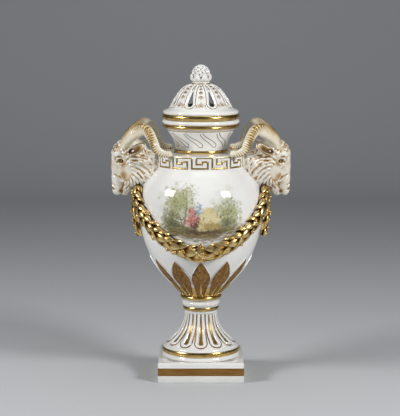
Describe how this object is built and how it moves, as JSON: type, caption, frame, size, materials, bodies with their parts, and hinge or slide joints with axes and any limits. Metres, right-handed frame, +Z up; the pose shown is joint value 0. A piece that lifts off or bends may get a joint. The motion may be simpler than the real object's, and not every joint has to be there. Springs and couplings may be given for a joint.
{
  "type": "porcelain perfume burner vase with pierced cover",
  "caption": "Covered porcelain vase for perfume or potpourri, with ram's-head handles, laurel swags, a pierced domed cover that lifts off and a fluted foot on a square plinth.",
  "frame": {"origin": "centre of the plinth's underside", "axes": "+Z up, along the vase's axis; the painted front faces -Y; the heads stand at +X and -X"},
  "size_m": [0.1892, 0.1342, 0.3299],
  "materials": {
    "white_glaze": "bright transparent glaze over white hard-paste porcelain, with fine gilt lines",
    "tinted_glaze": "glazed porcelain with a brown and gold wash lying in the recesses",
    "gilding": "fired gold over glazed porcelain, burnished on the high points",
    "cork": "matt pressed cork",
    "brass": "dull turned brass",
    "steel": "plain steel rod, a little grey with age"
  },
  "bodies": {
    "vase": {"plinth": "white_glaze", "foot": "white_glaze", "stem_collar": "white_glaze", "calyx_ring": "gilding", "bowl": "white_glaze", "shoulder": "white_glaze", "neck": "white_glaze", "calyx_leaf_01": "gilding", "calyx_leaf_02": "gilding", "calyx_leaf_03": "gilding", "calyx_leaf_04": "gilding", "calyx_leaf_05": "gilding", "calyx_leaf_06": "gilding", "calyx_leaf_07": "gilding", "calyx_leaf_08": "gilding", "calyx_leaf_09": "gilding", "calyx_leaf_10": "gilding", "calyx_leaf_11": "gilding", "calyx_leaf_12": "gilding", "bowl_cork": "cork", "bowl_washer": "brass", "foot_cork": "cork", "foot_washer": "brass", "tie_bolt": "steel", "tie_nut": "brass", "ram_head_right": "tinted_glaze", "ram_head_left": "tinted_glaze", "horn_right_front": "tinted_glaze", "horn_right_back": "tinted_glaze", "horn_left_front": "tinted_glaze", "horn_left_back": "tinted_glaze", "laurel_tail_right": "gilding", "laurel_tail_left": "gilding", "laurel_swag_front": "gilding", "laurel_swag_back": "gilding"},
    "cover": {"cover": "white_glaze", "finial_cup": "tinted_glaze", "finial_buds": "tinted_glaze"}
  },
  "joints": [
    {"name": "cover_lift", "type": "slide", "parent": "vase", "child": "cover", "axis": [0, 0, 1], "range_m": [0, 0.08]}
  ]
}
